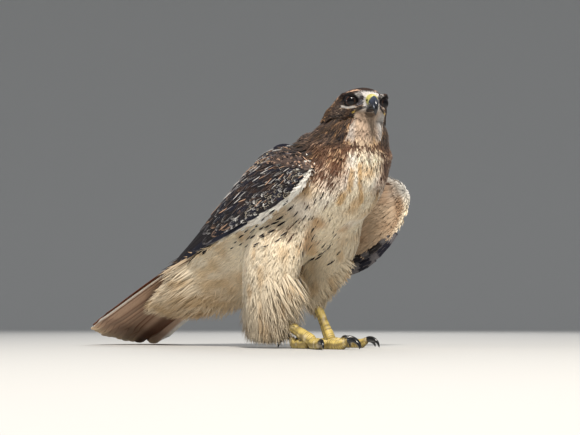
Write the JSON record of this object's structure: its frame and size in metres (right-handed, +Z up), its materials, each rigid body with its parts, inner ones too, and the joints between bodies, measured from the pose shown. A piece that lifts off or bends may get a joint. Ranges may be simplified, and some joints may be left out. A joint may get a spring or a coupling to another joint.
{
  "type": "red-tailed hawk",
  "caption": "Life-size still model of a standing red-tailed hawk with its head turned, one wing closed and one held off the body, resting on its feet and tail tip.",
  "frame": {"origin": "on the floor, under the middle of the bird's bounding box", "axes": "+X the way the body faces, from tail to breast; +Y the bird's left; +Z up"},
  "size_m": [0.4839, 0.1985, 0.3104],
  "materials": {
    "plumage_pale": "soft matt cream feathers with dark shaft streaks",
    "plumage_dark": "matt to silky blackish-brown feathers with pale edges",
    "tail_feathers": "silky rufous-buff feathers, pink-buff below",
    "cere_skin": "waxy yellow-green skin",
    "foot_skin": "scaly yellow skin, satin",
    "horn": "polished black to slate horn",
    "eye": "wet gloss, dark brown"
  },
  "bodies": {
    "root": {"bill_lower": "horn", "bill_upper": "horn", "cere": "cere_skin", "claw_hind_left": "horn", "claw_hind_right": "horn", "claw_inner_left": "horn", "claw_inner_right": "horn", "claw_middle_left": "horn", "claw_middle_right": "horn", "claw_outer_left": "horn", "claw_outer_right": "horn", "eye_left": "eye", "eye_right": "eye", "head": "plumage_dark", "neck": "plumage_dark", "tail": "tail_feathers", "tarsus_left": "foot_skin", "tarsus_right": "foot_skin", "thigh_left": "plumage_pale", "thigh_right": "plumage_pale", "toe_hind_left": "foot_skin", "toe_hind_right": "foot_skin", "toe_inner_left": "foot_skin", "toe_inner_right": "foot_skin", "toe_middle_left": "foot_skin", "toe_middle_right": "foot_skin", "toe_outer_left": "foot_skin", "toe_outer_right": "foot_skin", "trunk": "plumage_pale", "wing_left": "plumage_dark", "wing_right": "plumage_dark"}
  },
  "joints": []
}
